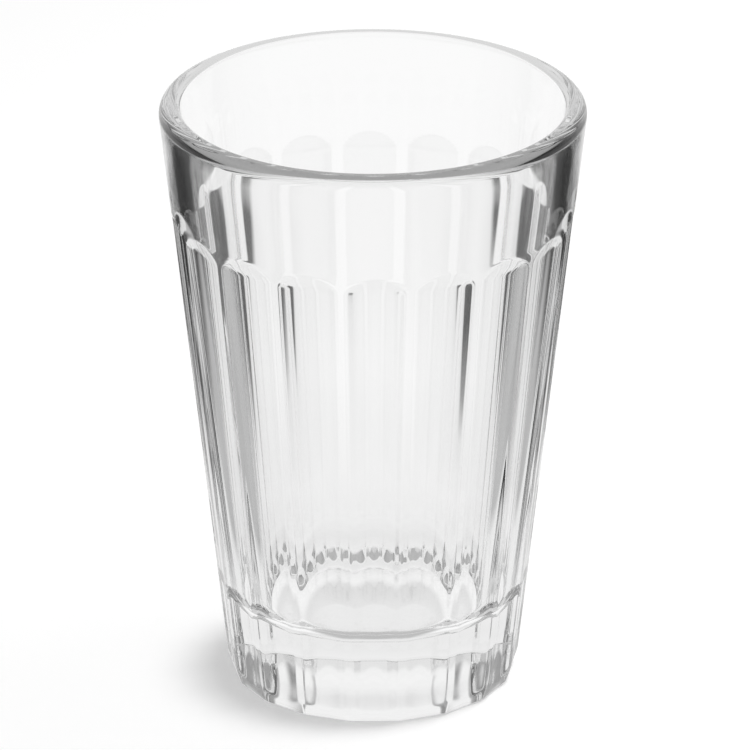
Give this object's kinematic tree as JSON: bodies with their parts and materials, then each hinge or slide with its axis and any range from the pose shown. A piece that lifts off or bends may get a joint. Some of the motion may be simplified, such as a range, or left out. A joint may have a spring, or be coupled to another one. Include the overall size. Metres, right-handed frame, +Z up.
{
  "type": "coffee glass",
  "caption": "Tapered clear pressed-glass tumbler for coffee: plain band under a rounded lip, hollow flutes down the wall, thick base on a flat bearing ring.",
  "frame": {"origin": "centre of the bearing ring on the table, at the bottom of the glass", "axes": "+Z up along the axis of the glass, -Y towards the viewer, through the middle of a flute"},
  "size_m": [0.0694, 0.0696, 0.1004],
  "materials": {
    "clear_glass": "clear soda-lime glass, pressed and fire-polished"
  },
  "bodies": {
    "root": {"tumbler": "clear_glass"}
  },
  "joints": []
}
